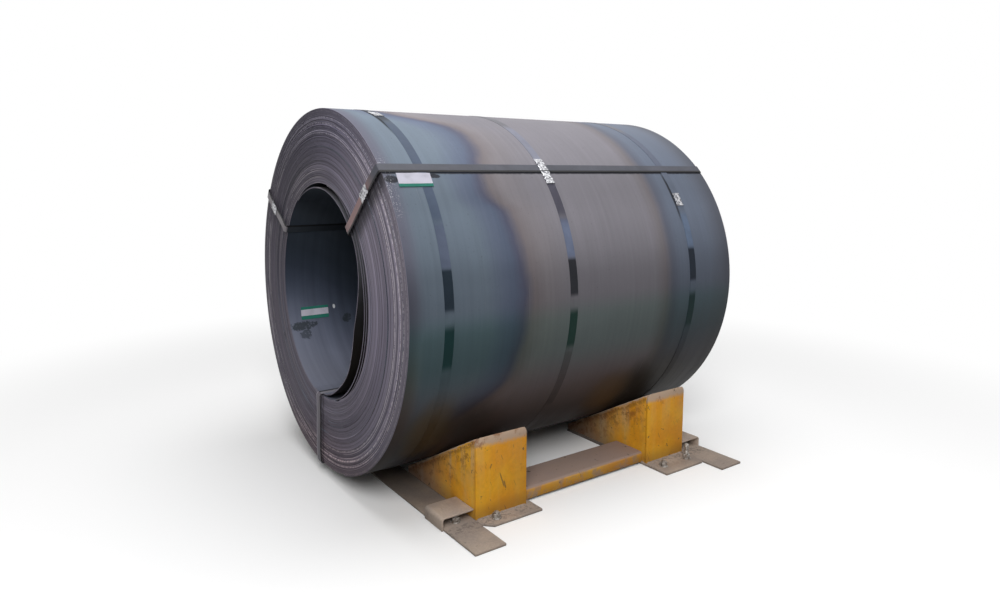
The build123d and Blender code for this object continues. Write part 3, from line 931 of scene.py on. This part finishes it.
def eyeLoop(angle, node):
    # outside run, rear end, bore run and front end, with small bends between
    low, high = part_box(node)
    outside, lap = outerR + 2 * strapT, innerLapR(angle)
    front, rear = low.x + strapT, min(high.x - strapT, rearX + straps["rearGap"])
    bend, (shallow, deep), (out, eye) = straps["bend"], straps["corner"], straps["straight"]
    bow = [front + back for back in straps["frontBow"]]
    run = [frontX + (rearX - frontX) * i / straps["runSteps"] for i in range(straps["runSteps"] + 1)]
    loop = [(x, outside) for x in run]
    loop += [(rear - bend, outside - shallow), (rear, outside - deep)]
    loop += [(rear, radius) for radius in (outside - out, (outside + boreR) / 2, boreR + eye)]
    loop += [(rear, lap + 2 * bend), (rear - bend, lap)]
    loop += [(x, lap - straps["boreGap"]) for x in reversed(run)]
    loop += [(front + bend, lap), (front, lap + 2 * bend)]
    loop += [(bow[0], radius) for radius in (lap + eye, (outside + lap) / 2, outside - out)]
    loop += [(bow[1], outside - deep), (bow[2], outside - shallow)]
    return loop


def makeEyeStraps():
    for name, angle in eyeStraps.items():
        material = eyeStrapFinish(name, angle)
        node = "eye_strap_" + name
        points = [polar(x, radius, angle) for x, radius in eyeLoop(angle, node)]
        bm = bandMesh(points, outwardAt(angle + 90) * strapW, strapT)
        addPiece("eye_band_" + name, bm, [material], "strap_steel", node)


# Crimped seals

seal = {
    "length": 0.052, "width": 0.036, "height": 0.0026, "wall": 0.0010,
    "crimps": 3, "nip": 0.0042, "flare": 0.45,
    "crimpReach": 0.055,  # as a share of the length
    "flat": 0.7, "fold": 0.85,  # shares of the half sheet where its back ends and its flap begins
    "tuck": 0.009, "flapGap": 0.0004, "dents": 0.0005,
    "overLift": 1.4,  # strap thicknesses, where the middle ring crosses the upper eye strap
    "sink": 0.0010,
    "zinc": {"grain": 120, "edges": (0.40, 0.60), "metallic": 0.55, "rough": (0.24, 0.28),
             "first": (0.150, 0.150, 0.170), "second": (0.640, 0.645, 0.670)},
}


def sealMesh(seed):
    # a folded clip along local X, with its back up and its edges nipped by the crimper
    dice = random.Random(seed)
    bm = bmesh.new()
    bmesh.ops.create_grid(bm, x_segments=42, y_segments=16, size=0.5)
    bends = [dice.uniform(0.7, 1.2) for i in range(seal["crimps"])]
    flatTo, foldFrom = seal["flat"], seal["fold"]
    for vert in bm.verts:
        along, across = vert.co.x, vert.co.y * 2
        nip = 0.0
        for i, bend in enumerate(bends):
            place = (i + 1) / (seal["crimps"] + 1) - 0.5
            nip += bend * math.exp(-((along - place) / seal["crimpReach"]) ** 2)
        half = seal["width"] / 2 - seal["nip"] * nip
        side = abs(across)
        lift = seal["height"] * (1 + seal["flare"] * nip * max(0.0, side - 0.4))
        if side < flatTo:
            flat, high = half * side / flatTo, lift
        elif side < foldFrom:
            flat, high = half, lift * (foldFrom - side) / (foldFrom - flatTo)
        else:
            flat, high = half - seal["tuck"] * (side - foldFrom) / (1 - foldFrom), seal["flapGap"]
        high += seal["dents"] * noise.noise(Vector((along * 9, across * 3, seed)))
        vert.co = Vector((along * seal["length"], math.copysign(flat, across), high))
    normalsOut(bm)
    if sum(face.normal.z for face in bm.faces) < 0:
        bmesh.ops.reverse_faces(bm, faces=bm.faces[:])
    thicken(bm, seal["wall"])
    return bm


def placed(bm, along, outward, origin):
    turn = Matrix((along, outward.cross(along), outward)).transposed().to_4x4()
    bmesh.ops.transform(bm, matrix=Matrix.Translation(origin) @ turn, verts=bm.verts)
    return bm


def makeSeals():
    material = zincFinish("sealZinc", seal["zinc"])
    for number, name in enumerate(("front", "middle", "second", "rear")):
        node = "ring_seal_" + name
        angle = nodeAngle(node)
        lift = seal["overLift"] * strapT if name in ("middle", "second") else 0.0
        origin = polar(middleOf(node).x, outerR + lift, angle)
        bm = placed(sealMesh(number), outwardAt(angle + 90), outwardAt(angle), origin)
        addPiece("ring_clip_" + name, bm, [material], "seal_steel", node)
    for number, (name, angle) in enumerate(eyeStraps.items()):
        node = "eye_seal_" + name
        middle = middleOf(node)
        outward = Vector((math.copysign(1, middle.x), 0, 0))
        bm = placed(sealMesh(number + 10), outwardAt(angle), outward, middle - outward * seal["sink"])
        addPiece("eye_clip_" + name, bm, [material], "seal_steel", node)


# Paper labels, bare

labels = {
    "thick": 0.0004, "ripple": 0.0009, "skew": 0.004, "boreGap": 0.0012,
    "outerLift": 2.4,  # strap thicknesses
    "white": (0.47, 0.462, 0.535),
    "green": (0.017, 0.145, 0.108),
    "margins": {"outer_label": (0.18, 0.0), "bore_label": (0.20, 0.30)},  # green shares below and above
}


def labelMesh(node, radius, inward):
    low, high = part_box(node)
    angle = nodeAngle(node)
    width = high.x - low.x
    tall = 2 * math.degrees(math.asin((high - low).yz.length / 2 / radius))
    way = -1 if inward else 1
    bm = bmesh.new()
    bmesh.ops.create_grid(bm, x_segments=24, y_segments=14, size=0.5)
    for vert in bm.verts:
        across, up = vert.co.x, vert.co.y
        curl = labels["ripple"] * (noise.noise(Vector((across * 3, up * 3, angle))) + 0.6)
        x = (low.x + high.x) / 2 + across * width + up * labels["skew"]
        vert.co = polar(x, radius + curl * way, angle + up * tall * way)
    normalsOut(bm)
    if (sum((face.normal for face in bm.faces), Vector()).dot(outwardAt(angle)) < 0) != inward:
        bmesh.ops.reverse_faces(bm, faces=bm.faces[:])
    # the second finish covers the paper's coloured margins
    under, over = labels["margins"][node]
    for face in bm.faces:
        centre = face.calc_center_median()
        share = (math.degrees(math.atan2(centre.z - axisZ, -centre.y)) - angle) / tall + 0.5
        if share < under or share > 1 - over:
            face.material_index = 1
    return bm


def makeLabels():
    papers = [paperFinish(name + "Paper", labels[name]) for name in ("white", "green")]
    outside, inside = outerR + labels["outerLift"] * strapT, boreR - labels["boreGap"]
    for node, radius in (("outer_label", outside), ("bore_label", inside)):
        bm = labelMesh(node, radius, radius < boreR)
        thicken(bm, labels["thick"])
        addPiece(node + "_paper", bm, papers, "label_paper", node)


# Saddle plates: the frame's own shapes with their edges eased

saddle = {
    "ease": 0.0016,
    "sides": {"near": -1, "far": 1},
    "corners": [(end, side) for end in ("front", "rear") for side in ("near", "far")],
}


def easedPlate(node, material, slot):
    bm = bmesh.new()
    bm.from_mesh(nodes[node].data)
    bmesh.ops.remove_doubles(bm, verts=bm.verts, dist=0.00001)
    bmesh.ops.dissolve_limit(bm, angle_limit=math.radians(1), verts=bm.verts, edges=bm.edges)
    edges = [edge for edge in bm.edges if edge.is_manifold and edge.calc_face_angle() > math.radians(35)]
    bmesh.ops.bevel(bm, geom=edges, offset=saddle["ease"], offset_type="OFFSET", affect="EDGES",
                    segments=2, profile=0.5, material=-1, clamp_overlap=True)
    addPiece(node + "_plate", bm, [material], slot, node, sharp=32)


def makeSaddle(dusty):
    facePaint, sidePaint, channelPaint = [yellowFinish(name) for name in paintLook["kinds"]]
    dustyGuide = dustyFinish("dustyGuide")
    for end, side in saddle["corners"]:
        corner = f"{end}_{side}"
        easedPlate("wedge_face_" + corner, facePaint, "yellow_paint")
        for plate in ("wedge_top_", "wedge_side_inner_", "wedge_side_outer_"):
            easedPlate(plate + corner, sidePaint, "yellow_paint")
        easedPlate("base_plate_" + corner, dusty, "dusty_steel")
        easedPlate("guide_bracket_" + corner, dustyGuide, "dusty_steel")
    for side in ("near", "far"):
        easedPlate("side_channel_" + side, channelPaint, "yellow_paint")
    for end in ("front", "rear"):
        easedPlate("cross_bar_" + end, dusty, "dusty_steel")


# Weld beads along the foot of each wedge

weld = {
    "radius": 0.0042, "step": 0.0055, "sides": 8, "uneven": 0.15,
    "swell": (0.5, 0.8, 1.1),  # radii at the start and at every other step
    "footIn": 0.006,
    "sideIn": (0.02, 0.012),  # from the wedge's thin end and from its face
}


def beadMesh(start, end, seed):
    dice = random.Random(seed)
    bm = bmesh.new()
    line = end - start
    count = max(3, int(line.length / weld["step"]))
    turn = line.to_track_quat("Z", "Y").to_matrix().to_4x4()
    first, *swell = weld["swell"]
    made = bmesh.ops.create_circle(bm, segments=weld["sides"], radius=weld["radius"] * first,
                                   cap_ends=True, matrix=Matrix.Translation(start) @ turn)
    ring = list({edge for vert in made["verts"] for edge in vert.link_edges})
    for i in range(1, count + 1):
        verts, ring = grow(bm, ring)
        size = weld["radius"] * (swell[i % 2] + dice.uniform(-weld["uneven"], weld["uneven"]))
        centre = start + line * i / count
        for vert in verts:
            off = (vert.co - start - line * (i - 1) / count).normalized()
            vert.co = centre + off * size
    fillHoles(bm)
    normalsOut(bm)
    return bm


def makeWelds(material):
    footIn, (backIn, frontIn) = weld["footIn"], weld["sideIn"]
    for number, (end, side) in enumerate(saddle["corners"]):
        corner = f"{end}_{side}"
        out = saddle["sides"][side]
        low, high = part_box("wedge_face_" + corner)
        y, z = out * faceY, plateTop
        bm = beadMesh(Vector((low.x + footIn, y, z)), Vector((high.x - footIn, y, z)), number)
        addPiece("foot_weld_" + corner, bm, [material], "yellow_paint")
        x = low.x if end == "rear" else high.x
        back = abs(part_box("wedge_top_" + corner)[0 if out > 0 else 1].y)
        begin, stop = Vector((x, out * (back + backIn), z)), Vector((x, y - out * frontIn, z))
        bm = beadMesh(begin, stop, number + 20)
        addPiece("side_weld_" + corner, bm, [material], "yellow_paint")


# Bolts in the tabs and in the guides' mouths

bolts = {
    "rod": 0.008, "pitch": 0.0028, "thread": 0.0009, "flats": 0.024, "nut": 0.013,
    "chamfer": (0.001, 0.0016),  # of the nut, below and above
    "washer": 0.0165, "washerT": 0.003, "short": 0.004, "tall": 0.036,
    # kind, which hole of the pair along X, and how far it stands up
    "anchors": {"front": [("bolt", 0, "short")], "rear": [("bolt", -1, "short"), ("stud", 1, "tall")]},
    "mouthIn": 0.020,  # from a guide's outer end
    "zinc": {"grain": 90, "edges": (0.36, 0.66), "metallic": 0.4, "rough": (0.36, 0.3),
             "first": (0.420, 0.395, 0.365), "second": (0.130, 0.098, 0.075)},
}


def ringsUp(bm, sides, rings):
    # a turned shape from stacked circles, closed at both ends
    made = bmesh.ops.create_circle(bm, segments=sides, radius=rings[0][0], cap_ends=True,
                                   matrix=Matrix.Translation((0, 0, rings[0][1])))
    edges = [edge for edge in bm.edges if all(vert in made["verts"] for vert in edge.verts)]
    for radius, height in rings[1:]:
        verts, edges = grow(bm, edges)
        for vert in verts:
            flat = vert.co.xy.normalized() * radius
            vert.co = Vector((flat.x, flat.y, height))
    bmesh.ops.contextual_create(bm, geom=edges)


def boltMesh(stand, seed):
    dice = random.Random(seed)
    bm = bmesh.new()
    rod, pitch = bolts["rod"], bolts["pitch"]
    washer, washerT = bolts["washer"], bolts["washerT"]
    ringsUp(bm, 28, [(washer, 0), (washer, washerT * 0.7), (washer * 0.95, washerT)])
    nutR = bolts["flats"] / math.sqrt(3)
    top = washerT + bolts["nut"]
    foot, crest = washerT + bolts["chamfer"][0], top - bolts["chamfer"][1]
    ringsUp(bm, 6, [(nutR * 0.97, washerT), (nutR, foot), (nutR, crest), (nutR * 0.86, top)])
    rings = [(rod, top - 0.001)]
    while rings[-1][1] < top + stand:
        height = rings[-1][1]
        rings += [(rod - bolts["thread"], height + pitch / 2), (rod, height + pitch)]
    rings.append((rod * 0.7, rings[-1][1] + 0.0012))
    ringsUp(bm, 16, rings)
    normalsOut(bm)
    bmesh.ops.rotate(bm, verts=bm.verts, matrix=Matrix.Rotation(dice.uniform(0, 1), 3, "Z"))
    return bm


def makeBolts():
    material = zincFinish("boltZinc", bolts["zinc"])
    places = []
    for end, kinds in bolts["anchors"].items():
        mount = mounts[end + "_anchor_holes"]
        reachX = mount["dims"].get("spacing_x_mm", 0) / 2000
        reachY = mount["dims"]["spacing_y_mm"] / 2000
        for side, out in saddle["sides"].items():
            for kind, hole, stand in kinds:
                spot = Vector((mount["pos_m"][0] + hole * reachX, out * reachY, plateTop))
                places.append((f"{end}_{kind}_{side}", spot, stand))
    for end, side in saddle["corners"]:
        out = saddle["sides"][side]
        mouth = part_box(f"guide_bracket_{end}_{side}")[0 if out < 0 else 1].y
        spot = Vector((middleOf("cross_bar_" + end).x, mouth - out * bolts["mouthIn"], plateTop))
        places.append((f"lock_bolt_{end}_{side}", spot, "short"))
    for number, (name, place, stand) in enumerate(places):
        bm = boltMesh(bolts[stand], number)
        bmesh.ops.translate(bm, verts=bm.verts, vec=place)
        addPiece(name, bm, [material], "dusty_steel")


# Floor, light and camera

stage = {
    "floor": 60.0, "white": 0.97, "bounce": 0.07, "sky": 0.22,
    "plainFrom": (1.5, 3.2),  # metres from the middle, where the floor turns plain white
    # place, size and power
    "lamps": {"keyLamp": ((-3.6, -5.0, 5.0), 4.0, 360.0), "topLamp": ((0.3, -0.3, 5.5), 5.0, 190.0)},
}

view = {
    "place": (-2.5582, -3.6457, 0.6516),  # in coil radii from the coil's middle
    "yaw": 55.81, "pitch": -6.62,  # degrees
    "focal": 700.1, "imageWidth": 1000, "imageHeight": 600, "sensor": 36.0,
    "centre": (476.6, 255.0),  # the lens axis in the image
}


def seenRays(wire):
    # 1 where the camera looks straight, by a reflection or through glass, and 0 for light that bounces
    light = wire.node("LightPath")
    straight, mirrored = light.sibling("Is Camera Ray"), light.sibling("Is Glossy Ray")
    return straight.most(mirrored).most(light.sibling("Is Transmission Ray"))


def makeFloor():
    material, place = newFinish("paleFloor")
    seen = seenRays(place)
    dress(material, seen.mix((stage["bounce"],) * 3, (stage["white"],) * 3), 0.9, 0.0)
    away = place.node("VectorMath", {"operation": "LENGTH"}, {0: place}, out="Value")
    plain = place.node("Emission", sockets={"Color": (1, 1, 1, 1), "Strength": 1.0})
    tree = material.node_tree
    shaded = Wire(tree, tree.nodes["Principled BSDF"].outputs[0])
    far = seen * away.rise(*stage["plainFrom"])
    blend = place.node("MixShader", sockets={0: far, 1: shaded, 2: plain})
    place.feed(tree.nodes["Material Output"].inputs["Surface"], blend)
    bm = bmesh.new()
    bmesh.ops.create_grid(bm, x_segments=1, y_segments=1, size=stage["floor"] / 2)
    floor = addMesh("floor", bm, [material])


def makeWorld():
    world = bpy.data.worlds.new("studio")
    world.use_nodes = True
    bpy.context.scene.world = world
    start = Wire(world.node_tree)
    background = world.node_tree.nodes["Background"]
    background.inputs["Color"].default_value = (1, 1, 1, 1)
    start.feed(background.inputs["Strength"], stage["sky"] + seenRays(start) * (1 - stage["sky"]))


def addLamp(name, place, size, power):
    lamp = bpy.data.lights.new(name, "AREA")
    lamp.shape = "DISK"
    lamp.size = size
    lamp.energy = power
    holder = addObject(name, lamp)
    holder.location = place
    holder.rotation_euler = (axisPoint - Vector(place)).to_track_quat("-Z", "Y").to_euler()


def makeCamera():
    camera = bpy.data.cameras.new("camera")
    camera.sensor_width = view["sensor"]
    camera.lens = view["focal"] / view["imageWidth"] * view["sensor"]
    camera.shift_x = (view["imageWidth"] / 2 - view["centre"][0]) / view["imageWidth"]
    camera.shift_y = (view["centre"][1] - view["imageHeight"] / 2) / view["imageWidth"]
    holder = addObject("camera", camera)
    holder.location = Vector(view["place"]) * outerR + axisPoint
    yaw, pitch = math.radians(view["yaw"]), math.radians(view["pitch"])
    ahead = Vector((math.cos(yaw) * math.cos(pitch), math.sin(yaw) * math.cos(pitch), math.sin(pitch)))
    holder.rotation_euler = ahead.to_track_quat("-Z", "Y").to_euler()
    bpy.context.scene.camera = holder


coilPiece = makeCoil()
print("coil:", len(coilPiece.data.polygons), "faces")
makeLaps(coilPiece.data.materials[2], coilPiece.data.materials[1])
print("loose laps done")
makeRingStraps()
makeEyeStraps()
makeSeals()
makeLabels()
print("straps, seals and labels done")
dusty = dustyFinish("dustySteel")
makeSaddle(dusty)
makeWelds(dusty)
makeBolts()
print("saddle done")

makeFloor()
makeWorld()
for name, lamp in stage["lamps"].items():
    addLamp(name, *lamp)
makeCamera()
bpy.context.scene.view_settings.view_transform = "Standard"
print("stage done")
